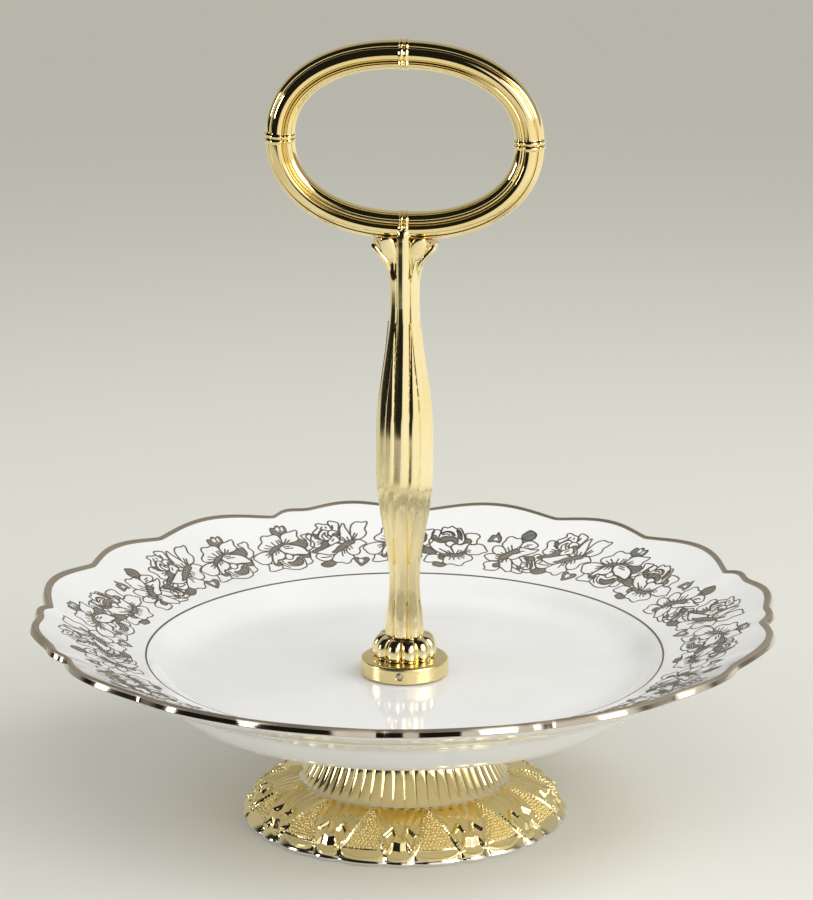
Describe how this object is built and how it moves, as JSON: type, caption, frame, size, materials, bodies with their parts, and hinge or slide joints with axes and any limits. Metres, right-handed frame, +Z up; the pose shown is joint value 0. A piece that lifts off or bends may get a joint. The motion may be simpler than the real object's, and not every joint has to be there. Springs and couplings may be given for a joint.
{
  "type": "footed cake plate with carrying handle",
  "caption": "Round scalloped porcelain cake plate on a hollow gold-tone pedestal foot, lifted by a screwed-on central stem with an oval carrying ring.",
  "frame": {"origin": "bottom centre of the foot, on the axis of the stem", "axes": "+Z up along the stem, +X along the long way of the carrying ring, -Y the front, where the grub screw shows in the collar"},
  "size_m": [0.249, 0.249, 0.2657],
  "materials": {
    "gold_plate": "bright gold plating on a cast body, mirror polished",
    "porcelain": "clear glossy glaze on white porcelain, platinum edge band and garland",
    "zinc_plate": "plain zinc-plated steel",
    "gasket": "soft translucent plastic washer",
    "platinum_print": "fired platinum lustre: edge band, line and line-drawn rose garland on the glaze"
  },
  "bodies": {
    "root": {"foot": "gold_plate", "lower_gasket": "gasket", "plate": "porcelain", "centre_rod": "zinc_plate", "flat_washer": "zinc_plate", "spring_washer": "zinc_plate", "hex_nut": "zinc_plate"},
    "lift": {"upper_gasket": "gasket"},
    "handle": {"collar": "gold_plate", "lock_pin": "zinc_plate", "stem": "gold_plate", "ring_dowel": "zinc_plate", "handle_ring": "gold_plate"}
  },
  "joints": [
    {"name": "handle_lift", "type": "slide", "parent": "root", "child": "lift", "axis": [0, 0, 1], "range_m": [0, 0.012]},
    {"name": "handle_unscrew", "type": "hinge", "parent": "lift", "child": "handle", "pos_m": [0, 0, 0], "axis": [0, 0, 1], "range_deg": [0, 4320]}
  ],
  "couplings": [
    {"joint": "handle_lift", "follows": "handle_unscrew", "m_per_rad": 0.00015915}
  ]
}
